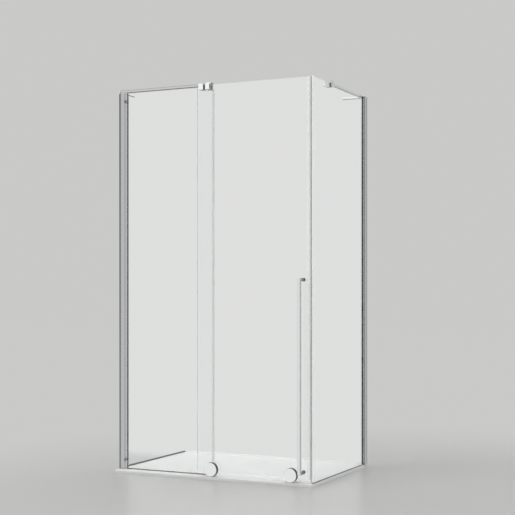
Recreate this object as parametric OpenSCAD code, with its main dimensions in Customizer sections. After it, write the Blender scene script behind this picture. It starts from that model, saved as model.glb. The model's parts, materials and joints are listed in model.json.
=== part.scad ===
// Walk-in shower enclosure: fixed front panel, sliding door on floor rollers, side panel and tray.
// The front faces -Y, the walls stand at -X and +Y, and the tray's underside is at Z = 0.

/* [Tray] */
// Width of the tray along the front
tray_w = 1100; // [1000:10:1400]
// Depth of the tray from its front edge to the back wall
tray_d = 750; // [700:10:1000]
// Height of the tray above the floor
tray_h = 15; // [15:1:30]
// Fall of the tray from its inner edge to the waste
tray_fall = 3; // [1:0.5:4]
// Distance from the back wall to the centre of the waste
waste_from_wall = 170; // [140:5:250]
// Diameter of the drain cover
cover_d = 112; // [106:1:130]

/* [Glass] */
// Height of the door's and the side panel's top edge above the tray
glass_h = 1950; // [1850:10:2050]
// Thickness of the glass
glass_t = 8; // [8:1:10]
// Clear width between the fixed panel's free edge and the side panel
entrance_w = 539; // [510:1:550]
// Width of the door's glass
door_w = 607; // [595:1:620]
// Distance from the tray's front edge to the fixed panel
front_set_in = 52; // [52:1:60]
// Distance from the tray's right edge to the side panel
side_set_in = 3; // [2:1:6]
// Gap between the fixed panel and the door
door_gap = 12; // [12:1:14]
// Height of the door's glass above the tray
door_foot_gap = 15; // [14:1:16]
// How much lower the fixed panel's top edge is than the door's
fixed_drop = 7; // [5:1:9]

/* [Profiles] */
// Width of the wall profiles across the glass
profile_w = 24; // [24:1:28]
// How far the wall profile stands out from the wall
wall_profile_reach = 34; // [32:1:38]
// How far the glazing profile stands out from the wall
glazing_profile_reach = 46; // [44:1:50]
// Thickness of the profile walls
profile_t = 1.8; // [1.5:0.1:2]
// Diameter of the wall-screw holes
wall_hole_d = 6; // [5:0.5:7]

/* [Stabiliser bars] */
// Side of the square bars
bar_s = 14; // [12:1:15]
// Length of the front bar's wall plate
front_plate_l = 145; // [140:5:160]
// Length of the side bar's wall plate
back_plate_l = 120; // [115:5:125]
// Thickness of the wall plates
plate_t = 4; // [3:0.5:5]
// Distance from the door's plane to the middle of the side panel's clamp
side_clamp_from_front = 226; // [200:1:300]

/* [Clamp blocks] */
// Width of the top guide along the front
guide_w = 25; // [24:1:30]
// Width of the door's stop block along the front
stop_w = 27; // [24:1:30]
// Thickness of the rubber pads
pad_t = 1.5; // [1:0.5:2]

/* [Handle] */
// Overall height of the handle
handle_h = 941; // [600:1:1000]
// Height of the handle's foot above the tray
handle_foot = 42; // [40:1:80]
// Side of the handle's square section
handle_s = 16; // [14:1:18]
// Reach of the handle from the glass to its front face
handle_reach = 50; // [45:1:60]
// Distance from the door's closing edge to the handle's middle
handle_from_edge = 32; // [28:1:60]

/* [Rollers] */
// Running diameter of the tyres
roller_d = 70; // [66:1:72]
// Distance from each edge of the door to its roller
roller_from_edge = 88; // [80:1:120]
// Reach of the roller's chrome cover from the glass
roller_reach = 30; // [30:0.5:31]

/* [Hidden] */
$fn = 48;

// Clearances between pieces that slide, fit or turn in each other
slide_gap = 0.5;
fit_gap = 0.1;
shaft_gap = 0.05;
// How far strips and pads stop short of the ends of what holds them
inset = 1;
// How far a cutting shape runs past what it cuts
past = 1;
// How deep two joined shapes of one piece overlap
weld = 0.01;
// Sides of a hexagon socket
hex = 6;

// Planes across the plan: walls, tray edges and glass faces
profile_past_tray = (profile_w - glass_t) / 2 - side_set_in;
total_w = tray_w + profile_past_tray;
total_d = tray_d - front_set_in + door_gap + glass_t + handle_reach;
wall_x = -total_w / 2;
wall_y = total_d / 2;
tray_right = wall_x + tray_w;
tray_front = wall_y - tray_d;
side_out = tray_right - side_set_in;
side_in = side_out - glass_t;
side_mid = side_out - glass_t / 2;
fixed_out = tray_front + front_set_in;
fixed_in = fixed_out + glass_t;
fixed_mid = fixed_out + glass_t / 2;
door_in = fixed_out - door_gap;
door_out = door_in - glass_t;
door_mid = door_in - glass_t / 2;

// Heights
tray_top = tray_h;
door_top = tray_top + glass_h;
side_top = door_top;
fixed_top = door_top - fixed_drop;
door_foot = tray_top + door_foot_gap;
foot_seal_h = 5;
panel_foot = tray_top + foot_seal_h;

// Seals: wall thickness, depth of the grip on the glass, and the box for a magnet strip
vinyl = 1.2;
grip = 10;
closing_grip = 20;
magnet_w = 8;
magnet_t = 4;
magnet_box = magnet_t + 2 * vinyl;

// Edges of the panels along the front
fixed_edge = side_in - entrance_w;
door_side_gap = 2 * (vinyl + magnet_box) + slide_gap;
door_right = side_in - door_side_gap;
door_left = door_right - door_w;
side_past_door = 4;
side_front = door_out - side_past_door;
glass_bevel = 0.8;

// Tray: bevelled edge, flat rims, and the step and slope inside them
tray_bevel = 3;
rim_front = 76;
rim_side = 26;
dish_step = 2;
slope_set_in = 4;

// Waste in the tray, from the hole up to the cover
waste_x = (wall_x + side_in) / 2;
waste_y = wall_y - waste_from_wall;
waste_r = 45;
flange_r = 53;
flange_t = 2;
flange_bore_r = 40;
spigot_foot = 1;
waste_gasket_t = 1;
cover_t = 2.5;
cover_gap = 1.5;
cover_slots = 12;
slot_start_r = 26;
slot_l = 10;
slot_w = 3;
recess_r = cover_d / 2 + cover_gap;
dish_floor = tray_top - dish_step - tray_fall;
recess_floor = dish_floor - cover_t - flange_t - waste_gasket_t;
wall_seal_w = 4;
wall_seal_h = 5;

// Wall and glazing profiles, measured out from the wall and across the glass
wall_web_t = 2.5;
glazing_back = 14;
glazing_web_t = 2;
glass_in_profile = 30;
glass_end_gap = 2;
lip = 4.2;
glazing_w = profile_w - 2 * profile_t - 2 * fit_gap;
glazing_inner_w = glazing_w - 2 * profile_t;
profile_foot = tray_top + 1;
wall_hole_count = 4;
wall_hole_first = 130;
wall_hole_pitch = 570;
profile_mid_z = wall_hole_first + wall_hole_pitch * (wall_hole_count - 1) / 2;

// Screws that join a pair of profiles
join_screw_out = 27;
join_screw_pitch = 785;
join_screw_z = [for (i = [-1:1]) profile_mid_z + i * join_screw_pitch];
join_hole_r = 2;
join_head_h = 2.4;
join_head_r = 3.8;
join_head_top_r = 2.6;
join_hex_r = 1.3;

// Caps on the profiles, and bumpers for the open door
cap_t = 1.5;
cap_peg_h = 6;
cap_peg_play = 2;
bumper_w = 10;
bumper_h = 14;
bumper_z = [tray_top + 43, door_top - 58];
bumper_right = wall_x + glazing_profile_reach;

// Stabiliser bars, wall plates and the countersunk screws that join them
bar_gap = 2;
side_bar_clear = 9;
side_bar_rise = 2;
front_bar_z = fixed_top + bar_gap + bar_s / 2;
side_bar_x = side_in - side_bar_clear - bar_s / 2;
side_bar_z = side_top + side_bar_rise;
plate_past_bar = 7.5;
plate_hole_r = 2.5;
plate_hole_pitch = 80;
front_plate_first_hole = 47.5;
back_plate_first_hole = 30;
socket_depth = 18;
end_screw_r = 3;
end_screw_l = 22;
end_hole_l = 26;
end_head_r = 5.5;
end_head_h = 2.5;
end_hex_r = 1.8;
end_hex_depth = 1.5;

// Clamp blocks at the top edges
block_bevel = 0.6;
slot_head = 1;
block_skin = 2;
block_behind = 7;
block_cap = 3.5;

// Guide clamp on the fixed panel, over the door
guide_right = fixed_edge - 11;
guide_left = guide_right - guide_w;
guide_mid_x = (guide_left + guide_right) / 2;
guide_front = door_out - 10;
guide_step_y = door_out + 5;
guide_back = fixed_in + block_behind;
guide_top = front_bar_z + bar_s / 2 + block_skin;
guide_foot = door_top - 25;
guide_screw_z = guide_foot + 9;
liner_t = 2.5;
liner_head = 1.5;
liner_front = door_out - slide_gap - liner_t;
liner_back = door_in + slide_gap + liner_t;

// Stop block on the door and its buffer
buffer_t = 3.5;
buffer_r = 3;
stop_right = guide_left - slide_gap - buffer_t;
stop_left = stop_right - stop_w;
stop_mid_x = (stop_left + stop_right) / 2;
stop_front = door_out - 22;
stop_back = door_in + 6;
stop_foot = guide_foot - 2;
stop_screw_z = [stop_foot + 8, stop_foot + 20];
buffer_y = (guide_front + liner_front) / 2;
buffer_z = stop_foot + 12;

// Clamp on the side panel
side_clamp_l = 30;
side_clamp_y = door_mid + side_clamp_from_front;
side_clamp_out = side_out + 8;
side_clamp_in = side_bar_x - bar_s / 2 - block_skin;
side_clamp_top = side_bar_z + bar_s / 2 + block_skin;
side_clamp_foot = side_top - 19;
side_screw_z = side_clamp_foot + 10;

// Screws in the clamp blocks
set_screw_r = 2.5;
set_screw_sunk = 0.3;
set_hex_r = 1.5;
set_hex_depth = 2;
knob_r = 6;
knob_l = 12;
knob_hex_r = 2.5;
knob_hex_depth = 4;

// Overlap seal, threshold and drip seal
overlap_foot = tray_top + 69;
overlap_fin_bow = 3;
threshold_h = 7;
threshold_w = 14;
threshold_crest = 4;
threshold_lip = 2;
threshold_past_panel = 10;
drip_gap = 0.6;
drip_grip = 4.5;
drip_fin_out = 3.2;
drip_fin_root = 1.5;

// Handle
handle_x = door_right - handle_from_edge;
handle_z0 = tray_top + handle_foot;
handle_z1 = handle_z0 + handle_h;
handle_front = door_out - handle_reach;
handle_bevel = 2.5;
handle_hole_r = 5;
handle_bolt_r = 3;
handle_bolt_l = 14;
handle_thread_l = 16;
handle_cap_r = 9;
handle_cap_t = 7;
handle_gasket_r = 7.5;
handle_leg_z = [handle_z0 + handle_s / 2, handle_z1 - handle_s / 2];

// Rubber washers on the door's glass
washer_t = 1;

// Rollers: places, and radii and distances out from the door's outer face
ground_gap = 0.4;
roller_r = roller_d / 2;
roller_z = tray_top + ground_gap + roller_r;
roller_left_x = door_left + roller_from_edge;
roller_right_x = door_right - roller_from_edge;
bearing_r = 11;
bearing_w = 7;
bearing_far = 25;
bearing_near = bearing_far - bearing_w;
shield_w = 3.4;
shield_depth = 0.5;
ring_gap = 0.3;
ring_t = 1;
ring_r = 6.5;
axle_r = 4;
axle_hole_r = 7;
axle_sleeve_r = 6.5;
axle_flange_r = 13;
axle_flange_t = 3;
axle_end = bearing_far + ring_gap + ring_t + 0.5;
nut_r = 12;
nut_t = 7;
nut_bevel = 1;
nut_face_t = 1.5;
nut_end_gap = 0.5;
roller_washer_r = 14;
nut_washer_r = 13;
core_r = roller_r - 3.5;
core_bore_r = 8;
core_near = 6;
core_far = 26.5;
groove_in_r = 15;
groove_out_r = 27;
groove_depth = 6;
tyre_near = 8;
tyre_far = 20;
tyre_bevel = 1;
cover_r = roller_r - 0.8;
cover_bevel = 1;
cover_face_t = 2;
cover_recess_r = 13;
cover_skirt_near = 20.5;
cover_skirt_t = 1.4;

// A block between two corners
module block(x0, x1, y0, y1, z0, z1) {
    translate([x0, y0, z0]) cube([x1 - x0, y1 - y0, z1 - z0]);
}

// A block between two corners whose four upright edges are bevelled
module bevelled_block(x0, x1, y0, y1, z0, z1, c) {
    translate([0, 0, z0]) linear_extrude(z1 - z0)
        polygon([
            [x0 + c, y0], [x1 - c, y0], [x1, y0 + c], [x1, y1 - c],
            [x1 - c, y1], [x0 + c, y1], [x0, y1 - c], [x0, y0 + c]
        ]);
}

// A cylinder along X from x0 to x1
module rod_x(x0, x1, y, z, r) {
    translate([x0, y, z]) rotate([0, 90, 0]) cylinder(h = x1 - x0, r = r);
}

// A cylinder along Y from y0 to y1
module rod_y(x, y0, y1, z, r) {
    translate([x, y1, z]) rotate([90, 0, 0]) cylinder(h = y1 - y0, r = r);
}

// A set screw along Y with a hexagon socket in the end at y1
module set_screw(x, y0, y1, z) {
    difference() {
        rod_y(x, y0, y1, z, set_screw_r);
        translate([x, y1 + past, z]) rotate([90, 0, 0])
            cylinder(h = past + set_hex_depth, r = set_hex_r, $fn = hex);
    }
}

// A profile's plan is drawn out from the wall along X and across the glass along Y.
// This puts it on the left wall or on the back wall.
module on_left_wall() {
    translate([wall_x, fixed_mid, 0]) children();
}

module on_back_wall() {
    translate([side_mid, wall_y, 0]) rotate([0, 0, -90]) children();
}

// Shower tray: bevelled slab, inner step, fall to the waste, recess and waste hole
module shower_tray() {
    dish_x = [wall_x + rim_side, side_in - rim_side];
    dish_y = [tray_front + rim_front, wall_y - rim_side];
    color("white") difference() {
        intersection() {
            translate([0, wall_y, 0]) rotate([90, 0, 0]) linear_extrude(tray_d)
                polygon([
                    [wall_x, 0], [tray_right, 0], [tray_right, tray_h - tray_bevel],
                    [tray_right - tray_bevel, tray_h], [wall_x, tray_h]
                ]);
            translate([wall_x, 0, 0]) rotate([90, 0, 90]) linear_extrude(tray_w)
                polygon([
                    [tray_front, 0], [wall_y, 0], [wall_y, tray_h],
                    [tray_front + tray_bevel, tray_h], [tray_front, tray_h - tray_bevel]
                ]);
        }
        block(dish_x[0], dish_x[1], dish_y[0], dish_y[1], tray_top - dish_step, tray_top + past);
        hull() {
            block(dish_x[0] + slope_set_in, dish_x[1] - slope_set_in,
                dish_y[0] + slope_set_in, dish_y[1] - slope_set_in,
                tray_top - dish_step, tray_top - dish_step + past);
            translate([waste_x, waste_y, dish_floor]) cylinder(h = past, r = recess_r, $fn = 32);
        }
        translate([waste_x, waste_y, recess_floor]) cylinder(h = tray_h, r = recess_r);
        translate([waste_x, waste_y, -past]) cylinder(h = tray_h + 2 * past, r = waste_r);
    }
}

// Waste flange: ring in the recess with a spigot in the waste hole
module waste_flange() {
    ring_z = recess_floor + waste_gasket_t;
    color("silver") translate([waste_x, waste_y, 0]) difference() {
        union() {
            translate([0, 0, ring_z]) cylinder(h = flange_t, r = flange_r);
            translate([0, 0, spigot_foot])
                cylinder(h = ring_z - spigot_foot + weld, r = waste_r - 2 * fit_gap);
        }
        translate([0, 0, -past]) cylinder(h = tray_h + 2 * past, r = flange_bore_r);
    }
}

// Waste gasket: rubber ring under the flange
module waste_gasket() {
    color("dimgray") translate([waste_x, waste_y, recess_floor]) difference() {
        cylinder(h = waste_gasket_t, r = flange_r);
        translate([0, 0, -past]) cylinder(h = waste_gasket_t + 2 * past, r = waste_r + inset);
    }
}

// Drain cover: round lid on the flange with a ring of slots over its bore
module drain_cover() {
    z = dish_floor - cover_t;
    color("white") translate([waste_x, waste_y, 0]) difference() {
        translate([0, 0, z]) cylinder(h = cover_t, r = cover_d / 2);
        for (i = [0:cover_slots - 1])
            rotate([0, 0, i * 360 / cover_slots]) translate([slot_start_r, -slot_w / 2, z - past])
                cube([slot_l, slot_w, cover_t + 2 * past]);
    }
}

// Dark sealing strip where the tray meets the left wall
module tray_left_wall_seal() {
    color("dimgray")
        block(wall_x, wall_x + wall_seal_w, fixed_mid + profile_w / 2 + slide_gap,
            wall_y - wall_seal_w, tray_top, tray_top + wall_seal_h);
}

// Pale sealing strip where the tray meets the back wall
module tray_back_wall_seal() {
    color("whitesmoke")
        block(wall_x, side_mid - profile_w / 2 - slide_gap, wall_y - wall_seal_w, wall_y,
            tray_top, tray_top + wall_seal_h);
}

// Plan of the wall profile: a channel open to the glass
module wall_profile_plan() {
    difference() {
        translate([0, -profile_w / 2]) square([wall_profile_reach, profile_w]);
        translate([wall_web_t, -profile_w / 2 + profile_t])
            square([wall_profile_reach, profile_w - 2 * profile_t]);
    }
}

// Plan of the glazing profile: it slides in the wall profile and holds the glass edge
module glazing_profile_plan() {
    web_back = glass_in_profile - glass_end_gap - glazing_web_t;
    web_front = glass_in_profile - glass_end_gap;
    lip_back = glazing_profile_reach - profile_t;
    difference() {
        translate([glazing_back, -glazing_w / 2])
            square([glazing_profile_reach - glazing_back, glazing_w]);
        translate([glazing_back - past, -glazing_inner_w / 2])
            square([web_back - glazing_back + past, glazing_inner_w]);
        translate([web_front, -glazing_inner_w / 2])
            square([lip_back - web_front, glazing_inner_w]);
        translate([lip_back - past, -glazing_w / 2 + lip])
            square([profile_t + 2 * past, glazing_w - 2 * lip]);
    }
}

// Holes for the joining screws through the side of a profile that is w wide
module join_holes(w, inside) {
    for (z = join_screw_z)
        rod_y(join_screw_out, inside * w / 2 - profile_t - past, inside * w / 2 + profile_t + past,
            z, join_hole_r);
}

// Wall profile with its wall-screw holes and the holes for the joining screws
module wall_profile(top, inside) {
    difference() {
        translate([0, 0, profile_foot]) linear_extrude(top - profile_foot) wall_profile_plan();
        for (i = [0:wall_hole_count - 1])
            rod_x(-past, wall_web_t + past, 0, wall_hole_first + i * wall_hole_pitch,
                wall_hole_d / 2);
        join_holes(profile_w, inside);
    }
}

// Glazing profile with the holes for the joining screws
module glazing_profile(top, inside) {
    difference() {
        translate([0, 0, profile_foot]) linear_extrude(top - profile_foot) glazing_profile_plan();
        join_holes(glazing_w, inside);
    }
}

// Two gasket strips that hold the glass in the glazing profile
module glazing_gaskets(top) {
    strip = (glazing_inner_w - glass_t) / 2;
    for (y = [-glass_t / 2 - strip, glass_t / 2])
        translate([glass_in_profile, y, profile_foot])
            cube([glazing_profile_reach - profile_t - glass_in_profile, strip, top - profile_foot]);
}

// Cap over the top of a profile pair, with a peg down into the wall profile
module profile_cap(top) {
    peg = profile_w - 2 * profile_t - 2 * cap_peg_play;
    translate([0, -profile_w / 2, top]) cube([glazing_profile_reach, profile_w, cap_t]);
    translate([wall_web_t + inset, -peg / 2, top - cap_peg_h])
        cube([glazing_back - wall_web_t - 2 * inset, peg, cap_peg_h + weld]);
}

// Pan-head screws that join the two profiles from inside the enclosure
module join_screws(inside) {
    shank = 2 * profile_t + fit_gap;
    for (z = join_screw_z)
        translate([join_screw_out, inside * profile_w / 2, z]) rotate([-90 * inside, 0, 0])
            difference() {
                union() {
                    cylinder(h = join_head_h, r1 = join_head_r, r2 = join_head_top_r);
                    translate([0, 0, -shank]) cylinder(h = shank + weld, r = join_hole_r - fit_gap);
                }
                translate([0, 0, join_head_h / 2])
                    cylinder(h = join_head_h, r = join_hex_r, $fn = hex);
            }
}

module front_wall_profile() {
    color("lightgray") on_left_wall() wall_profile(fixed_top, 1);
}

module front_glazing_profile() {
    color("silver") on_left_wall() glazing_profile(fixed_top, 1);
}

module front_glazing_gaskets() {
    color("dimgray") on_left_wall() glazing_gaskets(fixed_top);
}

module front_profile_cap() {
    color("silver") on_left_wall() profile_cap(fixed_top);
}

module back_wall_profile() {
    color("lightgray") on_back_wall() wall_profile(side_top, -1);
}

module back_glazing_profile() {
    color("silver") on_back_wall() glazing_profile(side_top, -1);
}

module back_glazing_gaskets() {
    color("dimgray") on_back_wall() glazing_gaskets(side_top);
}

module back_profile_cap() {
    color("silver") on_back_wall() profile_cap(side_top);
}

module profile_screws() {
    color("gray") {
        on_left_wall() join_screws(1);
        on_back_wall() join_screws(-1);
    }
}

// Rubber bumpers on the front glazing profile, where the open door's edge comes to rest
module open_bumpers() {
    color("gray") for (z = bumper_z)
        block(bumper_right - bumper_w, bumper_right, door_out + inset, fixed_mid - glazing_w / 2,
            z, z + bumper_h);
}

// Fixed front panel
module fixed_panel() {
    color("lightcyan", 0.4)
        bevelled_block(wall_x + glass_in_profile, fixed_edge, fixed_out, fixed_in,
            panel_foot, fixed_top, glass_bevel);
}

// Foot seal in section: a strip under the glass, a little wider than it
module foot_seal_plan() {
    translate([-glass_t / 2 - vinyl, 0]) square([glass_t + 2 * vinyl, foot_seal_h]);
}

module fixed_foot_seal() {
    x0 = wall_x + glazing_profile_reach + fit_gap;
    color("darkgray") translate([x0, fixed_mid, tray_top]) rotate([90, 0, 90])
        linear_extrude(fixed_edge - x0) foot_seal_plan();
}

// Overlap seal: grips the fixed panel's free edge and reaches towards the door with a bowed fin
module overlap_seal() {
    reach = door_gap - slide_gap;
    bow = overlap_fin_bow;
    color("gainsboro") translate([fixed_edge, fixed_out, overlap_foot])
        linear_extrude(guide_foot - inset - overlap_foot)
            polygon([
                [-grip, 0], [0, 0], [0, glass_t], [-grip, glass_t],
                [-grip, glass_t + vinyl], [vinyl, glass_t + vinyl], [vinyl, 0],
                [bow + vinyl, -reach / 2], [bow - 1 + vinyl, -reach], [bow - 1, -reach],
                [bow, -reach / 2], [0, -vinyl], [-grip, -vinyl]
            ]);
}

// Side panel
module side_panel() {
    color("lightcyan", 0.4)
        bevelled_block(side_in, side_out, side_front, wall_y - glass_in_profile,
            panel_foot, side_top, glass_bevel);
}

module side_foot_seal() {
    y1 = wall_y - glazing_profile_reach - fit_gap;
    color("darkgray") translate([side_mid, y1, tray_top]) rotate([90, 0, 0])
        linear_extrude(y1 - side_front) foot_seal_plan();
}

// Closing seal on the side panel's front edge, with a box for its magnet
module side_closing_seal() {
    box_right = side_in - vinyl;
    box_y = door_mid - magnet_w / 2 - vinyl;
    color("gainsboro") difference() {
        union() {
            block(side_in - vinyl, side_out + vinyl, side_front - vinyl, side_front + closing_grip,
                panel_foot, side_top);
            block(box_right - magnet_box, box_right + weld, box_y, box_y + magnet_w + 2 * vinyl,
                panel_foot, side_top);
        }
        block(side_in, side_out, side_front, side_front + closing_grip + past, 0, side_top + past);
        block(box_right - vinyl - magnet_t, box_right - vinyl, box_y + vinyl,
            box_y + vinyl + magnet_w, 0, side_top + past);
    }
}

module side_magnet_strip() {
    x1 = side_in - 2 * vinyl;
    color("dimgray") block(x1 - magnet_t, x1, door_mid - magnet_w / 2, door_mid + magnet_w / 2,
        panel_foot + inset, side_top - inset);
}

// Stabiliser bar over the fixed panel, from the wall plate into the guide clamp
module front_bar() {
    color("silver") difference() {
        block(wall_x + plate_t, guide_left + socket_depth, fixed_mid - bar_s / 2,
            fixed_mid + bar_s / 2, front_bar_z - bar_s / 2, front_bar_z + bar_s / 2);
        rod_x(wall_x, wall_x + end_hole_l, fixed_mid, front_bar_z, end_screw_r);
    }
}

// Stabiliser bar inside the side panel's top edge, from the wall plate into its clamp
module side_bar() {
    color("silver") difference() {
        block(side_bar_x - bar_s / 2, side_bar_x + bar_s / 2,
            side_clamp_y + side_clamp_l / 2 - socket_depth, wall_y - plate_t,
            side_bar_z - bar_s / 2, side_bar_z + bar_s / 2);
        rod_y(side_bar_x, wall_y - end_hole_l, wall_y, side_bar_z, end_screw_r);
    }
}

// Wall plate: a flat bar on the wall with two wall-screw holes and one for the bar's screw
module wall_plate(length, first_hole) {
    difference() {
        translate([0, -plate_past_bar, -bar_s / 2]) cube([plate_t, length, bar_s]);
        for (i = [0, 1])
            rod_x(-past, plate_t + past, first_hole - plate_past_bar + i * plate_hole_pitch, 0,
                plate_hole_r);
        rod_x(-past, plate_t + past, 0, 0, end_screw_r);
        rotate([0, 90, 0]) cylinder(h = end_head_h, r1 = end_head_r, r2 = end_screw_r);
    }
}

module front_wall_plate() {
    color("silver") translate([wall_x, fixed_mid, front_bar_z])
        wall_plate(front_plate_l, front_plate_first_hole);
}

module back_wall_plate() {
    color("silver") translate([side_bar_x, wall_y, side_bar_z]) rotate([0, 0, -90])
        mirror([0, 1, 0]) wall_plate(back_plate_l, back_plate_first_hole);
}

// Countersunk screw that holds a bar to its wall plate
module end_screw() {
    rotate([0, 90, 0]) difference() {
        union() {
            cylinder(h = end_head_h - fit_gap, r1 = end_head_r - fit_gap, r2 = end_screw_r - fit_gap);
            cylinder(h = end_screw_l, r = end_screw_r - fit_gap);
        }
        translate([0, 0, -past]) cylinder(h = past + end_hex_depth, r = end_hex_r, $fn = hex);
    }
}

module bar_end_screws() {
    color("gray") {
        translate([wall_x + fit_gap, fixed_mid, front_bar_z]) end_screw();
        translate([side_bar_x, wall_y - fit_gap, side_bar_z]) rotate([0, 0, -90]) end_screw();
    }
}

// Guide clamp: grips the fixed panel's top corner, takes the bar's end and straddles the door
module guide_clamp() {
    x0 = guide_left - past;
    x1 = guide_right + past;
    color("silver") difference() {
        bevelled_block(guide_left, guide_right, guide_front, guide_back, guide_foot, guide_top,
            block_bevel);
        block(x0, x1, fixed_out - pad_t, fixed_in + pad_t, 0, fixed_top + slot_head);
        block(x0, x1, liner_front, liner_back, 0, door_top + liner_head);
        block(x0, guide_left + socket_depth + fit_gap, fixed_mid - bar_s / 2 - fit_gap,
            fixed_mid + bar_s / 2 + fit_gap, front_bar_z - bar_s / 2 - fit_gap,
            front_bar_z + bar_s / 2 + fit_gap);
        block(x0, x1, guide_front - past, guide_step_y, door_top + block_cap, guide_top + past);
        rod_y(guide_mid_x, fixed_in, guide_back + past, guide_screw_z, set_screw_r + fit_gap);
    }
}

module guide_clamp_pads() {
    color("dimgray") for (y = [fixed_out - pad_t, fixed_in])
        block(guide_left + inset, guide_right - inset, y, y + pad_t, guide_foot + inset, fixed_top);
}

// Plastic liner of the guide's slot: it keeps clear of the moving door
module door_guide_liner() {
    color("whitesmoke") difference() {
        block(guide_left, guide_right, liner_front, liner_back, guide_foot + inset,
            door_top + liner_head);
        block(guide_left - past, guide_right + past, liner_front + liner_t, liner_back - liner_t,
            0, door_top + slide_gap);
    }
}

// Clamp on the side panel's top edge that takes the side bar's end
module side_clamp() {
    y0 = side_clamp_y - side_clamp_l / 2;
    y1 = side_clamp_y + side_clamp_l / 2;
    color("silver") difference() {
        bevelled_block(side_clamp_in, side_clamp_out, y0, y1, side_clamp_foot, side_clamp_top,
            block_bevel);
        block(side_in - pad_t, side_out + pad_t, y0 - past, y1 + past, 0, side_top + slot_head);
        block(side_bar_x - bar_s / 2 - fit_gap, side_bar_x + bar_s / 2 + fit_gap,
            y1 - socket_depth - fit_gap, y1 + past, side_bar_z - bar_s / 2 - fit_gap,
            side_bar_z + bar_s / 2 + fit_gap);
        rod_x(side_clamp_in - past, side_in, side_clamp_y, side_screw_z, set_screw_r + fit_gap);
    }
}

module side_clamp_pads() {
    half = side_clamp_l / 2 - inset;
    color("dimgray") for (x = [side_in - pad_t, side_out])
        block(x, x + pad_t, side_clamp_y - half, side_clamp_y + half, side_clamp_foot + inset,
            side_top);
}

// Set screw in the guide clamp and round-headed screw in the side clamp
module clamp_screws() {
    head_end = side_clamp_in - knob_l;
    color("gray") {
        set_screw(guide_mid_x, fixed_in + pad_t, guide_back - set_screw_sunk, guide_screw_z);
        difference() {
            union() {
                rod_x(side_clamp_in - weld, side_in - pad_t, side_clamp_y, side_screw_z, set_screw_r);
                rod_x(head_end, side_clamp_in, side_clamp_y, side_screw_z, knob_r);
            }
            translate([head_end - past, side_clamp_y, side_screw_z]) rotate([0, 90, 0])
                cylinder(h = past + knob_hex_depth, r = knob_hex_r, $fn = hex);
        }
    }
}

// Threshold strip on the tray, under the door across the entrance
module threshold_strip() {
    x0 = fixed_edge - threshold_past_panel;
    x1 = side_in - vinyl - magnet_box - slide_gap;
    half = threshold_w / 2;
    crest = threshold_crest / 2;
    color("gainsboro") translate([x0, door_mid, tray_top]) rotate([90, 0, 90])
        linear_extrude(x1 - x0)
            polygon([
                [-half, 0], [half, 0], [half, threshold_lip],
                [crest, threshold_h], [-crest, threshold_h], [-half, threshold_lip]
            ]);
}

// Sliding door's glass with its bores for the roller axles and the handle bolts
module door_panel() {
    color("lightcyan", 0.4) difference() {
        bevelled_block(door_left, door_right, door_out, door_in, door_foot, door_top, glass_bevel);
        for (x = [roller_left_x, roller_right_x])
            rod_y(x, door_out - past, door_in + past, roller_z, axle_hole_r);
        for (z = handle_leg_z)
            rod_y(handle_x, door_out - past, door_in + past, z, handle_hole_r);
    }
}

// Closing seal on the door's right edge, with a box for its magnet
module door_closing_seal() {
    box_x = door_right + vinyl;
    half = magnet_w / 2;
    color("gainsboro") difference() {
        union() {
            block(door_right - grip, box_x, door_out - vinyl, door_in + vinyl, door_foot, door_top);
            block(box_x - weld, box_x + magnet_box, door_mid - half - vinyl, door_mid + half + vinyl,
                door_foot, door_top);
        }
        block(door_right - grip - past, door_right, door_out, door_in, 0, door_top + past);
        block(box_x + vinyl, box_x + vinyl + magnet_t, door_mid - half, door_mid + half,
            0, door_top + past);
    }
}

module door_magnet_strip() {
    x0 = door_right + 2 * vinyl;
    color("whitesmoke") block(x0, x0 + magnet_t, door_mid - magnet_w / 2, door_mid + magnet_w / 2,
        door_foot + inset, door_top - inset);
}

// Drip seal on the door's foot: it grips the glass and its fin hangs over the threshold
module door_bottom_seal() {
    fin_foot = tray_top + threshold_h + drip_gap;
    base_z = door_foot - vinyl;
    grip_z = door_foot + drip_grip;
    half = glass_t / 2;
    color("gainsboro") translate([door_left + inset, door_mid, 0]) rotate([90, 0, 90])
        linear_extrude(door_w - grip - 2 * inset)
            polygon([
                [-half, door_foot], [half, door_foot], [half, grip_z], [half + vinyl, grip_z],
                [half + vinyl, base_z], [drip_fin_root, base_z], [drip_fin_out, fin_foot],
                [drip_fin_out - vinyl, fin_foot], [drip_fin_root - vinyl, base_z],
                [-half - vinyl, base_z], [-half - vinyl, grip_z], [-half, grip_z]
            ]);
}

// Stop block on the door's top edge: shut, it meets the guide clamp through its buffer
module door_stop() {
    color("silver") difference() {
        bevelled_block(stop_left, stop_right, stop_front, stop_back, stop_foot,
            door_top + block_cap, block_bevel);
        block(stop_left - past, stop_right + past, door_out - pad_t, door_in + pad_t, 0,
            door_top + slot_head);
        for (z = stop_screw_z)
            rod_y(stop_mid_x, door_in, stop_back + past, z, set_screw_r + fit_gap);
    }
}

module door_stop_pads() {
    color("dimgray") for (y = [door_out - pad_t, door_in])
        block(stop_left + inset, stop_right - inset, y, y + pad_t, stop_foot + inset, door_top);
}

module door_stop_buffer() {
    color("dimgray") rod_x(stop_right, stop_right + buffer_t, buffer_y, buffer_z, buffer_r);
}

module door_stop_screws() {
    color("gray") for (z = stop_screw_z)
        set_screw(stop_mid_x, door_in + pad_t, stop_back - set_screw_sunk, z);
}

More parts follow.
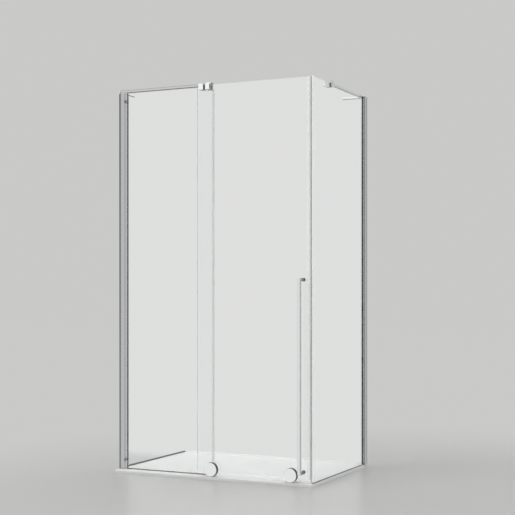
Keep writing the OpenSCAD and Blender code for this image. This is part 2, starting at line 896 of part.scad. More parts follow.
// Handle: square bar bent to a leg at each end, standing off the door's outer face
module handle() {
    y0 = handle_front;
    y1 = door_out - washer_t;
    color("silver") difference() {
        translate([handle_x + handle_s / 2, 0, 0]) rotate([90, 0, -90]) linear_extrude(handle_s)
            difference() {
                translate([-y1, handle_z0]) square([y1 - y0, handle_h]);
                translate([-y1 - past, handle_z0 + handle_s])
                    square([y1 - y0 - handle_s + past, handle_h - 2 * handle_s]);
                for (z = [handle_z0, handle_z1])
                    translate([-y0, z]) rotate(45) square(2 * handle_bevel, center = true);
            }
        for (z = handle_leg_z)
            rod_y(handle_x, y1 - handle_thread_l, y1 + past, z, handle_bolt_r);
    }
}

// Rubber washers on both faces of the glass under the handle's legs and caps
module handle_gaskets() {
    color("dimgray") for (z = handle_leg_z, y = [door_out - washer_t, door_in])
        difference() {
            rod_y(handle_x, y, y + washer_t, z, handle_gasket_r);
            rod_y(handle_x, y - past, y + washer_t + past, z, handle_bolt_r + fit_gap);
        }
}

// Handle bolts with round dark caps on the inner face of the glass
module handle_fixings() {
    cap_y = door_in + washer_t;
    color("dimgray") for (z = handle_leg_z) {
        rod_y(handle_x, cap_y, cap_y + handle_cap_t, z, handle_cap_r);
        rod_y(handle_x, door_out - washer_t - handle_bolt_l, cap_y + weld, z,
            handle_bolt_r - fit_gap);
    }
}

// A turned roller piece: its section has the radius along X and the distance out along Y
module turned(x) {
    translate([x, door_out, roller_z]) rotate([90, 0, 0]) rotate_extrude() children();
}

// Axle: shaft, flange against the glass, sleeve in the glass and threaded end for the nut
module roller_axle(x) {
    nut_end = -glass_t - washer_t - nut_t + nut_face_t + nut_end_gap;
    flange_far = washer_t + axle_flange_t;
    shoulder_far = bearing_near - ring_gap;
    color("silver") turned(x) polygon([
        [0, nut_end], [axle_r, nut_end], [axle_r, -glass_t], [axle_sleeve_r, -glass_t],
        [axle_sleeve_r, washer_t], [axle_flange_r, washer_t], [axle_flange_r, flange_far],
        [axle_sleeve_r, flange_far], [axle_sleeve_r, shoulder_far], [axle_r, shoulder_far],
        [axle_r, axle_end], [0, axle_end]
    ]);
}

module roller_axle_left() {
    roller_axle(roller_left_x);
}

module roller_axle_right() {
    roller_axle(roller_right_x);
}

// Round nuts on the inner face of the glass
module roller_nuts() {
    near = -glass_t - washer_t;
    far = near - nut_t;
    color("silver") for (x = [roller_left_x, roller_right_x])
        turned(x) polygon([
            [axle_r + fit_gap, near], [nut_r, near], [nut_r, far + nut_bevel],
            [nut_r - nut_bevel, far], [0, far], [0, far + nut_face_t],
            [axle_r + fit_gap, far + nut_face_t]
        ]);
}

// Rubber rings on both faces of the glass under the axle's flange and the nut
module roller_gaskets() {
    outer_bore = axle_sleeve_r + ring_gap;
    inner_bore = axle_r + ring_gap;
    color("dimgray") for (x = [roller_left_x, roller_right_x])
        turned(x) {
            translate([outer_bore, 0]) square([roller_washer_r - outer_bore, washer_t]);
            translate([inner_bore, -glass_t - washer_t])
                square([nut_washer_r - inner_bore, washer_t]);
        }
}

// Retaining rings that keep the bearings on the axles
module roller_retaining_rings() {
    color("gray") for (x = [roller_left_x, roller_right_x])
        turned(x) translate([axle_r, bearing_far + ring_gap]) square([ring_r - axle_r, ring_t]);
}

// Wheel core: rim, web and hub with the bearing's seat
module roller_wheel(x) {
    groove_w = groove_out_r - groove_in_r;
    color("whitesmoke") turned(x) difference() {
        translate([core_bore_r, core_near]) square([core_r - core_bore_r, core_far - core_near]);
        translate([0, bearing_near]) square([bearing_r, bearing_far]);
        translate([groove_in_r, core_near - past]) square([groove_w, groove_depth + past]);
        translate([groove_in_r, core_far - groove_depth]) square([groove_w, groove_depth + past]);
    }
}

// Tyre round the core
module roller_tyre(x) {
    color("dimgray") turned(x) polygon([
        [core_r, tyre_near], [roller_r - tyre_bevel, tyre_near], [roller_r, tyre_near + tyre_bevel],
        [roller_r, tyre_far - tyre_bevel], [roller_r - tyre_bevel, tyre_far], [core_r, tyre_far]
    ]);
}

// Ball bearing with its two rings closed by shields
module roller_bearing(x) {
    inner_r = axle_r + shaft_gap;
    color("gray") turned(x) difference() {
        translate([inner_r, bearing_near]) square([bearing_r - inner_r, bearing_w]);
        for (y = [bearing_near, bearing_far])
            translate([(axle_r + bearing_r) / 2, y])
                square([shield_w, 2 * shield_depth], center = true);
    }
}

// Chrome cover pressed on the wheel: a flat face with a skirt over the rim
module roller_cover(x) {
    skirt_r = cover_r - cover_skirt_t;
    face_back = roller_reach - cover_face_t;
    color("silver") turned(x) polygon([
        [0, face_back], [0, roller_reach], [cover_r - cover_bevel, roller_reach],
        [cover_r, roller_reach - cover_bevel], [cover_r, cover_skirt_near],
        [skirt_r, cover_skirt_near], [skirt_r, core_far], [cover_recess_r, core_far],
        [cover_recess_r, face_back]
    ]);
}

module roller_cover_left() {
    roller_cover(roller_left_x);
}

module roller_wheel_left() {
    roller_wheel(roller_left_x);
}

module roller_tyre_left() {
    roller_tyre(roller_left_x);
}

module roller_bearing_left() {
    roller_bearing(roller_left_x);
}

module roller_cover_right() {
    roller_cover(roller_right_x);
}

module roller_wheel_right() {
    roller_wheel(roller_right_x);
}

module roller_tyre_right() {
    roller_tyre(roller_right_x);
}

module roller_bearing_right() {
    roller_bearing(roller_right_x);
}

shower_tray();
waste_flange();
waste_gasket();
drain_cover();
tray_left_wall_seal();
tray_back_wall_seal();
front_wall_profile();
front_glazing_profile();
front_glazing_gaskets();
front_profile_cap();
back_wall_profile();
back_glazing_profile();
back_glazing_gaskets();
back_profile_cap();
profile_screws();
open_bumpers();
fixed_panel();
fixed_foot_seal();
overlap_seal();
side_panel();
side_foot_seal();
side_closing_seal();
side_magnet_strip();
front_bar();
front_wall_plate();
side_bar();
back_wall_plate();
bar_end_screws();
guide_clamp();
guide_clamp_pads();
door_guide_liner();
side_clamp();
side_clamp_pads();
clamp_screws();
threshold_strip();
door_panel();
door_closing_seal();
door_magnet_strip();
door_bottom_seal();
door_stop();
door_stop_pads();
door_stop_buffer();
door_stop_screws();
handle();
handle_gaskets();
handle_fixings();
roller_axle_left();
roller_axle_right();
roller_nuts();
roller_gaskets();
roller_retaining_rings();
roller_cover_left();
roller_wheel_left();
roller_tyre_left();
roller_bearing_left();
roller_cover_right();
roller_wheel_right();
roller_tyre_right();
roller_bearing_right();
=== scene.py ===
# %% [markdown]
# # A glass shower enclosure, dressed piece by piece
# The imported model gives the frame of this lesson: every pane, bar, clamp and roller at its real
# place and size, in metres. The cells below set up the camera and the light, mix the finishes and
# then give each visible piece its polished edges. Nothing is moved or resized.

# %% Load the frame
import json
import math
import bmesh
import bpy
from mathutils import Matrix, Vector

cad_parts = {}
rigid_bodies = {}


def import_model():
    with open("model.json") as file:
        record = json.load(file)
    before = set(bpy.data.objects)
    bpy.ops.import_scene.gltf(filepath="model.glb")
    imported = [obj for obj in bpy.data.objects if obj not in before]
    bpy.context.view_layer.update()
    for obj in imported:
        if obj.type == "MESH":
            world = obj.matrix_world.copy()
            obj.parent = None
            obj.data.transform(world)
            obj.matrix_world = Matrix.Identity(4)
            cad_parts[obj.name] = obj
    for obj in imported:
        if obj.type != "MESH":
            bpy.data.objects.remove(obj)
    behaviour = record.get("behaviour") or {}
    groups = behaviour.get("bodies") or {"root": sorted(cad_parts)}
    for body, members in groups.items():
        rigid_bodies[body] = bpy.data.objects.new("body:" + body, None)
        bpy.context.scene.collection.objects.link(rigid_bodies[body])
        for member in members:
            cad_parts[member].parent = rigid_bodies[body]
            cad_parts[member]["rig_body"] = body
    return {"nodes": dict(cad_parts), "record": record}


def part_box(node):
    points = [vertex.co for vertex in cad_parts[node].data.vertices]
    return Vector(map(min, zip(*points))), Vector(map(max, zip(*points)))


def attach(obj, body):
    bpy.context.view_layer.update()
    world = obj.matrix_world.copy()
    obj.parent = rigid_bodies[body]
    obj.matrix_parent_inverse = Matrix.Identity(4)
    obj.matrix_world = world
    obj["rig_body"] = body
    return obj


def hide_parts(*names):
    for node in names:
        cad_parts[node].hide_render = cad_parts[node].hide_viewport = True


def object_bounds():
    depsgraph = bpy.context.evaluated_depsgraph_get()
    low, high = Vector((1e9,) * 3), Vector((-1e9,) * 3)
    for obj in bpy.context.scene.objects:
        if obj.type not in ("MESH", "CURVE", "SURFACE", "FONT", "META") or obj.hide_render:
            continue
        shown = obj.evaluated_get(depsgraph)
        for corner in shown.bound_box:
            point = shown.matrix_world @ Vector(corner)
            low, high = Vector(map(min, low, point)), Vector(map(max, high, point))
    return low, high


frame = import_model()
cad_low, cad_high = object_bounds()
MM = 0.001
print("size in metres:", [round(v, 3) for v in cad_high - cad_low])

# %% [markdown]
# ## The camera
# The photograph is taken with a long lens, held level, from the right of the door. Its horizon lies
# a little below the middle of the picture, which a level camera gets by a small upward shift of the
# lens and not by a tilt, so that all upright edges stay upright.

# %% Place the camera
PICTURE = 515
FOCAL_PIXELS = 1185.0
HORIZON_PIXEL = 288.9
CAMERA_TURN = math.radians(25.53)
CAMERA_PLACE = Vector((2.743, -5.558, 0.946))
SENSOR_WIDTH = 36.0
FAR_CLIP = 100.0
QUARTER_TURN = math.radians(90)

camera_data = bpy.data.cameras.new("camera")
camera_data.sensor_width = SENSOR_WIDTH
camera_data.lens = FOCAL_PIXELS / PICTURE * SENSOR_WIDTH
camera_data.shift_y = (HORIZON_PIXEL - PICTURE / 2) / PICTURE
camera_data.clip_end = FAR_CLIP
camera = bpy.data.objects.new("camera", camera_data)
camera.location = CAMERA_PLACE
camera.rotation_euler = (QUARTER_TURN, 0, CAMERA_TURN)
bpy.context.scene.collection.objects.link(camera)
bpy.context.scene.camera = camera
bpy.context.scene.view_settings.view_transform = "Standard"
print("lens in mm:", round(camera_data.lens, 1))

# %% [markdown]
# ## The surroundings
# Glass and chrome have hardly a colour of their own: they show what stands round them. A studio
# gives them a large bright window at the front left, a pale card at the back right, a soft ceiling
# and a plain grey room, with a dark flag at either side, which draws thin outlines along the rounded
# edges. Here the world is that studio, drawn as a function of the direction in which a ray leaves.
# Shader nodes can be wired by hand in the editor. So many of them are easier to follow as short
# functions, each of which adds one node and hands on its output.

# %% Helpers for shader nodes


def node_maker(tree):
    """Returns a function that adds a node, sets its values and wires its inputs."""
    def make(kind, inputs=(), **settings):
        node = tree.nodes.new(kind)
        for key, value in settings.items():
            setattr(node, key, value)
        for socket, value in dict(inputs).items():
            if isinstance(value, bpy.types.NodeSocket):
                tree.links.new(value, node.inputs[socket])
            else:
                node.inputs[socket].default_value = value
        return node
    return make


def math_node(make, operation, a, b=0.0):
    return make("ShaderNodeMath", {0: a, 1: b}, operation=operation).outputs[0]


def smooth_range(make, value, low, high):
    """0 below low, 1 above high and a soft step between them; high may be below low."""
    ramp = make("ShaderNodeMapRange", {"Value": value, "From Min": low, "From Max": high},
                interpolation_type="SMOOTHSTEP")
    return ramp.outputs["Result"]


# %% [markdown]
# The direction of a ray is turned into three angles: how far it lies to the left of the front, how
# far to the right of the back, and how far above the horizon.

# %% Measure the direction of a ray
world = bpy.data.worlds.new("studio")
world.use_nodes = True
bpy.context.scene.world = world
world.node_tree.nodes.clear()
add = node_maker(world.node_tree)

direction = add("ShaderNodeTexCoord").outputs["Generated"]
parts = add("ShaderNodeSeparateXYZ", {"Vector": direction})
x, y, z = parts.outputs
turn_left = math_node(add, "ARCTAN2", math_node(add, "MULTIPLY", x, -1.0),
                      math_node(add, "MULTIPLY", y, -1.0))
turn_right = math_node(add, "ARCTAN2", x, y)
rise = math_node(add, "ARCSINE", z)
print("nodes that measure the direction:", len(world.node_tree.nodes))

# %% [markdown]
# A card or a flag is the product of soft steps in two of these angles. The flags are dark only in
# what the metal and glass mirror: Light Path counts the diffuse bounces of a ray, and a ray that
# lights a surface has made one, so the flags leave it alone.

# %% Set up the window, the cards and the flags
ROOM_LEVEL = 0.40
WINDOW_LEVEL = 0.55
CARD_LEVEL = 0.40
CEILING_LEVEL = 1.30
FLAG_DEPTH = 0.18
# Light that comes to a surface through a pane is raised so much, to make up for what the panes take
GLASS_GAIN = 2.8
# The spans are in degrees. To the left they count from the front, and to the right from the back.
WINDOW_SPAN = (5, 64)
BACK_CARD_SPAN = (5, 50)
RIGHT_FLAG_SPAN = (76, 142)
LEFT_FLAG_SPAN = (85, 132)
CARD_SOFT_EDGE = 9
# Angles above the horizon at which a card has ended and begins to end, and where the ceiling begins
CARD_TOP = (62, 47)
CEILING_START = (35, 60)
# The number of times that a ray has met something is whole, so this parts none from some
SOME = 0.5


def degrees_range(angle, low, high):
    return smooth_range(add, angle, math.radians(low), math.radians(high))


def card(turn, span):
    """The mask of an upright card between two angles, with soft edges."""
    start, end = span
    sides = math_node(add, "MULTIPLY", degrees_range(turn, start, start + CARD_SOFT_EDGE),
                      degrees_range(turn, end, end - CARD_SOFT_EDGE))
    return math_node(add, "MULTIPLY", sides, degrees_range(rise, *CARD_TOP))


window = math_node(add, "MULTIPLY", card(turn_left, WINDOW_SPAN), WINDOW_LEVEL)
back_card = math_node(add, "MULTIPLY", card(turn_right, BACK_CARD_SPAN), CARD_LEVEL)
ceiling = math_node(add, "MULTIPLY", degrees_range(rise, *CEILING_START), CEILING_LEVEL)
path = add("ShaderNodeLightPath").outputs
lit = math_node(add, "GREATER_THAN", path["Diffuse Depth"], SOME)
flags = math_node(add, "MAXIMUM", card(turn_right, RIGHT_FLAG_SPAN),
                  card(turn_left, LEFT_FLAG_SPAN))
flags = math_node(add, "MULTIPLY", flags, math_node(add, "SUBTRACT", 1.0, lit))
flags = math_node(add, "MULTIPLY", flags, -FLAG_DEPTH)
level = ROOM_LEVEL
for part in (window, back_card, ceiling, flags):
    level = math_node(add, "ADD", part, level)
lit_through = math_node(add, "MULTIPLY", path["Is Transmission Ray"], lit)
gain = add("ShaderNodeMapRange", {"Value": lit_through, "To Min": 1.0, "To Max": GLASS_GAIN})
level = math_node(add, "MULTIPLY", level, gain.outputs[0])
studio = add("ShaderNodeBackground", {"Color": (1, 1, 1, 1), "Strength": level})
print("nodes with the studio:", len(world.node_tree.nodes))

# %% [markdown]
# What the camera sees behind the enclosure is one plain pale grey. Through the glass the photograph
# is paler, so a camera ray that has passed a pane sees a paler tone. A clear seal lets a ray pass
# too, and what shows behind it takes the same tone.

# %% Put up a plain backdrop
BACKDROP = (0.585, 0.585, 0.578)
THROUGH_GLASS = 0.735
WARM_WHITE = (1, 1, 0.99, 1)

plain = add("ShaderNodeBackground", {"Color": (*BACKDROP, 1), "Strength": 1.0})
inside = add("ShaderNodeBackground", {"Color": WARM_WHITE, "Strength": THROUGH_GLASS})

through_seal = math_node(add, "GREATER_THAN", path["Transparent Depth"], SOME)
straight = math_node(add, "MULTIPLY", path["Is Camera Ray"],
                     math_node(add, "SUBTRACT", 1.0, through_seal))
inside_ray = math_node(add, "MAXIMUM", path["Is Transmission Ray"], path["Is Camera Ray"])
inside_ray = math_node(add, "MULTIPLY", inside_ray, math_node(add, "SUBTRACT", 1.0, lit))
seen = add("ShaderNodeMixShader", {"Fac": inside_ray, 1: studio.outputs[0], 2: inside.outputs[0]})
mix = add("ShaderNodeMixShader", {"Fac": straight, 1: seen.outputs[0], 2: plain.outputs[0]})
add("ShaderNodeOutputWorld", {"Surface": mix.outputs[0]})
print("world nodes:", len(world.node_tree.nodes))

# %% [markdown]
# ## The floor
# The enclosure stands on a plain pale floor with a faint sheen. The floor keeps the shadow near the
# tray, and further out it turns into the backdrop's own grey, so that no horizon cuts the picture.
# Behind the enclosure, what shows of it through the glass turns into the paler tone.

# %% Lay the floor
FLOOR_COLOUR = (0.515, 0.513, 0.505)
FLOOR_HALF = 20.0
FADE_CENTRE = (0.9, -0.5, 0)
FADE_START = 0.9
FADE_END = 3.0
BEHIND_START = 0.0
BEHIND_END = 0.45
FLOOR_ROUGHNESS = (0.26, 0.34)
CLOUDS_PER_METRE = 1.6
CLOUD_DETAIL = 4.0

bpy.ops.object.select_all(action="DESELECT")
bpy.ops.mesh.primitive_plane_add(size=2 * FLOOR_HALF)
floor = bpy.context.object
floor.name = "floor"
floor.visible_glossy = False

floor_finish = bpy.data.materials.new("pale_floor")
floor_finish.use_nodes = True
floor_finish.node_tree.nodes.clear()
add = node_maker(floor_finish.node_tree)
place = add("ShaderNodeTexCoord").outputs["Object"]
distance = add("ShaderNodeVectorMath", {0: place, 1: FADE_CENTRE}, operation="DISTANCE")
along_y = add("ShaderNodeSeparateXYZ", {"Vector": place}).outputs["Y"]
path = add("ShaderNodeLightPath").outputs
behind = math_node(add, "MULTIPLY", smooth_range(add, along_y, BEHIND_START, BEHIND_END),
                   path["Is Transmission Ray"])
fade = math_node(add, "MAXIMUM", behind,
                 smooth_range(add, distance.outputs["Value"], FADE_START, FADE_END))
cloud = add("ShaderNodeTexNoise", {"Vector": place, "Scale": CLOUDS_PER_METRE,
                                   "Detail": CLOUD_DETAIL})
rough = add("ShaderNodeMapRange", {"Value": cloud.outputs[0], "To Min": FLOOR_ROUGHNESS[0],
                                   "To Max": FLOOR_ROUGHNESS[1]})
near = add("ShaderNodeBsdfPrincipled", {"Base Color": (*FLOOR_COLOUR, 1),
                                        "Roughness": rough.outputs[0]})
shade = add("ShaderNodeMapRange", {"Value": path["Is Transmission Ray"],
                                   "To Min": BACKDROP[0], "To Max": THROUGH_GLASS})
far = add("ShaderNodeEmission", {"Color": WARM_WHITE, "Strength": shade.outputs[0]})
looked_at = math_node(add, "MAXIMUM", path["Is Camera Ray"], path["Is Transmission Ray"])
fade = math_node(add, "MULTIPLY", fade, looked_at)
mix = add("ShaderNodeMixShader", {"Fac": fade, 1: near.outputs[0], 2: far.outputs[0]})
add("ShaderNodeOutputMaterial", {"Surface": mix.outputs[0]})
floor.data.materials.append(floor_finish)
print("nodes of the floor's finish:", len(floor_finish.node_tree.nodes))

# %% [markdown]
# ## Finishes
# Every finish is one Principled shader. A fine noise, read at the object's own coordinates, varies
# its roughness and lifts its surface by a few hundredths of a millimetre, as grinding, casting or
# moulding does. The colours stay plain numbers on the shader, because they are the same all over.

# %% A helper for the finishes
GRAIN_DETAIL = 3.0


def finish(name, colour, roughness, grain=400.0, spread=0.04, lift=0.01 * MM, stretch=(1, 1, 1),
           **sockets):
    """A material with a noise of so many grains per metre in its roughness and relief."""
    material = bpy.data.materials.new(name)
    material.use_nodes = True
    material.node_tree.nodes.clear()
    make = node_maker(material.node_tree)
    coordinates = make("ShaderNodeTexCoord").outputs["Object"]
    mapped = make("ShaderNodeMapping", {"Vector": coordinates, "Scale": stretch})
    noise = make("ShaderNodeTexNoise",
                 {"Vector": mapped.outputs[0], "Scale": grain,
                  "Detail": GRAIN_DETAIL}).outputs[0]
    rough = make("ShaderNodeMapRange", {"Value": noise, "To Min": max(0.0, roughness - spread),
                                        "To Max": roughness + spread}).outputs[0]
    bump = make("ShaderNodeBump", {"Height": noise, "Distance": lift, "Strength": 1.0})
    shader = make("ShaderNodeBsdfPrincipled", {"Base Color": (*colour, 1), "Roughness": rough,
                                               "Normal": bump.outputs[0]})
    for socket, value in sockets.items():
        shader.inputs[socket.replace("_", " ").title().replace("Ior", "IOR")].default_value = value
    make("ShaderNodeOutputMaterial", {"Surface": shader.outputs[0]})
    return material


# %% [markdown]
# ### Glass
# Clear float glass is slightly green. Through its 8 mm the tint hardly shows, but along a pane it
# adds up, which is why the polished edges look dark green. The tint is therefore not a colour on the
# surface: it is absorption inside the glass, so the edge darkens by itself.

# %% Mix the glass
GLASS_TINT = (0.52, 0.84, 0.74)
GLASS_TINT_DENSITY = 5.0

glass = finish("clear_glass", (1.0, 1.0, 1.0), 0.0, grain=2.2, spread=0.0, lift=0.04 * MM,
               transmission_weight=1.0, ior=1.5)
make = node_maker(glass.node_tree)
tint = make("ShaderNodeVolumeAbsorption",
            {"Color": (*GLASS_TINT, 1), "Density": GLASS_TINT_DENSITY})
output = next(n for n in glass.node_tree.nodes if n.type == "OUTPUT_MATERIAL")
glass.node_tree.links.new(tint.outputs[0], output.inputs["Volume"])
print("nodes of the glass:", len(glass.node_tree.nodes))

# %% [markdown]
# ### Metals, plastics and stone
# Polished chrome reflects about seven tenths of the light. It is mixed in a few depths, because the
# photograph shows the clamps almost white, the roller covers soft, the bars a little brushed, and
# their edges and undersides dark. The near-white copy for the clamps is painted light, and the dark
# copy for the edges and undersides is painted shade. The wall profiles are bright aluminium, drawn
# through a die, so their grain runs up and down, and a dark copy of it is painted shade along their
# backs. The seals are clear vinyl, which shows as a thin veil with a painted glow, and the one
# between the two panes has gone milky. The handle's fixings are chrome painted dark, a painted
# reflection, and the pale magnets have a painted glow. The gaskets and tyres are rubber, and the
# tray is cast white mineral. The sealant of the left bead is painted dark as shade.

# %% Mix the other finishes
chrome = finish("polished_chrome", (0.74, 0.745, 0.75), 0.045, grain=900, spread=0.015,
                metallic=1.0)
bar_chrome = finish("brushed_chrome", (0.58, 0.585, 0.59), 0.08, grain=700, spread=0.02,
                    metallic=1.0)
# A near-white copy of the chrome, brighter than polished chrome: painted light on clamps and plates
painted_light_chrome = finish("mirror_chrome_painted_light", (0.93, 0.935, 0.94), 0.04, grain=900, spread=0.015,
                       metallic=1.0)
satin_chrome = finish("satin_chrome", (0.80, 0.805, 0.81), 0.07, grain=900, spread=0.02,
                      metallic=1.0)
aluminium = finish("bright_aluminium", (0.50, 0.505, 0.51), 0.20, grain=260, spread=0.05,
                   stretch=(1, 1, 0.02), metallic=1.0)
# A dark copy of the aluminium: painted shade for the strip along the back of a wall profile
painted_shade_aluminium = finish("painted_shade_aluminium", (0.20, 0.202, 0.205), 0.24, grain=260, spread=0.05,
                        stretch=(1, 1, 0.02), metallic=1.0)
# A dark copy of the chrome: painted shade for rounded edges, undersides, handle legs and cover walls
painted_shade_chrome = finish("painted_shade_chrome", (0.21, 0.212, 0.215), 0.08, grain=900, spread=0.02,
                       metallic=1.0)
steel = finish("stainless_steel", (0.50, 0.505, 0.51), 0.28, grain=700, spread=0.08, metallic=1.0)
tray_white = finish("cast_mineral", (0.85, 0.85, 0.845), 0.42, grain=620, spread=0.06,
                    lift=0.03 * MM)
cover_white = finish("satin_cover", (0.84, 0.84, 0.835), 0.34, grain=800, spread=0.05)
# The clear vinyl's emission is a painted glow that lightens its veil
vinyl = finish("clear_vinyl", (0.97, 0.975, 0.97), 0.12, grain=180, spread=0.03,
               stretch=(1, 1, 0.2), ior=1.3, alpha=0.08,
               emission_color=WARM_WHITE, emission_strength=0.25)
rubber = finish("black_rubber", (0.035, 0.035, 0.036), 0.62, grain=900, spread=0.1,
                lift=0.02 * MM)
tyre_rubber = finish("tyre_rubber", (0.05, 0.05, 0.052), 0.55, grain=700, spread=0.1,
                     lift=0.03 * MM)
# A dark copy of the sealant: painted shade for the left bead
dark_sealant = finish("dark_sealant", (0.045, 0.045, 0.045), 0.5, grain=160, spread=0.08,
                      lift=0.06 * MM)
worn_vinyl = finish("milky_vinyl", (0.62, 0.63, 0.62), 0.3, grain=180, spread=0.05,
                    stretch=(1, 1, 0.2), ior=1.3, alpha=0.10)
pale_sealant = finish("pale_sealant", (0.80, 0.80, 0.79), 0.5, grain=160, spread=0.08,
                      lift=0.06 * MM)
grey_rubber = finish("grey_rubber", (0.26, 0.26, 0.255), 0.6, grain=900, spread=0.1,
                     lift=0.02 * MM)
grey_vinyl = finish("grey_vinyl", (0.22, 0.22, 0.215), 0.4, grain=300, spread=0.08)
# Chrome painted dark for the handle's fixings: a painted reflection of the dark space behind the
# glass
black_chrome = finish("black_chrome", (0.07, 0.07, 0.072), 0.12, grain=900, spread=0.03,
                      metallic=1.0)
magnet = finish("magnet_rubber", (0.10, 0.105, 0.105), 0.5, grain=500, spread=0.08)
# The pale magnet rubber's emission is a painted glow
pale_magnet = finish("pale_magnet_rubber_painted_glow", (0.93, 0.93, 0.92), 0.5, grain=500, spread=0.08,
                     alpha=0.35, emission_color=WARM_WHITE, emission_strength=0.2)
nylon = finish("white_nylon", (0.78, 0.78, 0.76), 0.4, grain=500, spread=0.06, lift=0.02 * MM)
print("finishes:", [m.name for m in bpy.data.materials])

# %% [markdown]
# ## Helpers for modelling
# An operator in Blender works on everything that is selected, so these helpers start by deselecting
# all. A new block is a cube primitive between two corners. A CAD node keeps its own shape: where it
# only needs softer edges, a copy is merged and bevelled. A piece that has a darker side of painted
# shade or a rougher side gets a second finish on those faces that pass a test of their direction and
# place.

# %% Selecting, bevelling and smoothing
SHARP = math.radians(30)
SMOOTH = math.radians(50)
FLAT_WEIGHT = 80


def select_only(piece):
    bpy.ops.object.select_all(action="DESELECT")
    piece.select_set(True)
    bpy.context.view_layer.objects.active = piece


def apply_modifier(piece, kind, **settings):
    """Adds a modifier of that kind, sets it up and applies it at once."""
    select_only(piece)
    modifier = piece.modifiers.new(kind.lower(), kind)
    for key, value in settings.items():
        setattr(modifier, key, value)
    bpy.ops.object.modifier_apply(modifier=modifier.name)


def bevel_all(piece, width, segments):
    """Bevels every sharp edge of the piece."""
    apply_modifier(piece, "BEVEL", width=width, segments=segments, limit_method="ANGLE",
                   angle_limit=SHARP, use_clamp_overlap=True)


def smooth(piece, angle=SMOOTH):
    """Shades the piece smooth across the edges that are blunter than the angle."""
    select_only(piece)
    bpy.ops.object.shade_smooth_by_angle(angle=angle)


def soften(piece, width, segments=3):
    """Rounds every sharp edge and keeps the flats flat."""
    bevel_all(piece, width, segments)
    smooth(piece)
    apply_modifier(piece, "WEIGHTED_NORMAL", keep_sharp=True, weight=FLAT_WEIGHT)


# %% New blocks and merged copies
SAME_POINT = 0.002 * MM
SAME_PLANE = math.radians(0.5)


def add_block(name, low, high):
    """A cube primitive stretched between two corners, with its place in its mesh."""
    low, high = Vector(low), Vector(high)
    bpy.ops.object.select_all(action="DESELECT")
    bpy.ops.mesh.primitive_cube_add(size=1, location=(low + high) / 2, scale=high - low)
    block = bpy.context.object
    block.name = name
    bpy.ops.object.transform_apply(location=True, rotation=True, scale=True)
    return block


def copy_node(node, name):
    """A new piece with a merged copy of a CAD node's mesh."""
    piece = bpy.data.objects.new(name, frame["nodes"][node].data.copy())
    bpy.context.scene.collection.objects.link(piece)
    piece.data.materials.clear()
    select_only(piece)
    bpy.ops.object.mode_set(mode="EDIT")
    bpy.ops.mesh.select_all(action="SELECT")
    bpy.ops.mesh.remove_doubles(threshold=SAME_POINT)
    bpy.ops.mesh.dissolve_limited(angle_limit=SAME_PLANE)
    bpy.ops.object.mode_set(mode="OBJECT")
    return piece


# %% Body, slot and finish of a piece


def body_of(node):
    return frame["nodes"][node]["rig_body"]


def slot_of(node):
    """The material slot that the record gives to a node."""
    return next(s["material_slot"] for s in frame["record"]["subparts"] if s["node"] == node)


def dress(piece, node, material):
    """The piece takes the node's place and its body, and gets its finish."""
    piece.data.materials.clear()
    piece.data.materials.append(material)
    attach(piece, body_of(node))
    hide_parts(node)


def second_finish(piece, material, test):
    """Gives another finish to the faces whose normal and middle pass the test."""
    piece.data.materials.append(material)
    for face in piece.data.polygons:
        if test(face.normal, face.center):
            face.material_index = 1


# %% [markdown]
# ## The glass panes
# A pane of safety glass is cut, drilled and ground before it is toughened, and its edges get a small
# flat chamfer, called an arris. Each pane starts as a block, the door gets its four bores from
# cylinders, and a one-step bevel cuts the arris round every edge and every bore. All faces that the
# grinding wheel has touched scatter light, so they get a finish of their own. That finish also has a
# faint painted glow: an emission that stands in for the light a pane carries from its faces to its
# edges.

# %% Cut, drill and grind a pane
# The ground edges are rough, and their emission is a painted glow
ground_edge_painted_glow = finish("ground_glass_edge_painted_glow", (0.93, 0.95, 0.94), 0.45, grain=900, spread=0.08,
                     lift=0.02 * MM, emission_color=(0.97, 1.0, 0.985, 1.0),
                     emission_strength=0.08)
ARRIS = 0.8 * MM
BORE_SIDES = 48
# A drill is so many times as long as the glass is thick
DRILL_REACH = 4
PANE_SMOOTH = math.radians(20)
# The cosine below which a face of a pane is one that the wheel has ground
PANE_FACE = 0.95


def add_cylinder(name, centre, radius, length, sides=BORE_SIDES):
    """A cylinder primitive along Y."""
    bpy.ops.object.select_all(action="DESELECT")
    bpy.ops.mesh.primitive_cylinder_add(vertices=sides, radius=radius, depth=length,
                                        location=centre, rotation=(QUARTER_TURN, 0, 0))
    piece = bpy.context.object
    piece.name = name
    bpy.ops.object.transform_apply(location=True, rotation=True, scale=True)
    return piece


def add_pane(name, node, bores=(), across=1):
    """A pane in the place of a CAD node, with bores along Y, each a centre and a radius.

    The axis through its thickness is across: 0 for X or 1 for Y.
    """
    low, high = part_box(node)
    pane = add_block(name, low, high)
    for centre, radius in bores:
        drill = add_cylinder("drill", centre, radius, DRILL_REACH * (high.y - low.y))
        apply_modifier(pane, "BOOLEAN", object=drill, operation="DIFFERENCE", solver="EXACT")
        bpy.data.objects.remove(drill)
    bevel_all(pane, ARRIS, segments=1)
    smooth(pane, PANE_SMOOTH)
    dress(pane, node, glass)
    second_finish(pane, ground_edge_painted_glow, lambda normal, place: abs(normal[across]) < PANE_FACE)
    print(name, "faces:", len(pane.data.polygons))


# %% Make the three panes
AXLE_BORE = 7 * MM
HANDLE_BORE = 5 * MM
HANDLE_SECTION = 16 * MM


def middle(node):
    low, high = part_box(node)
    return (low + high) / 2


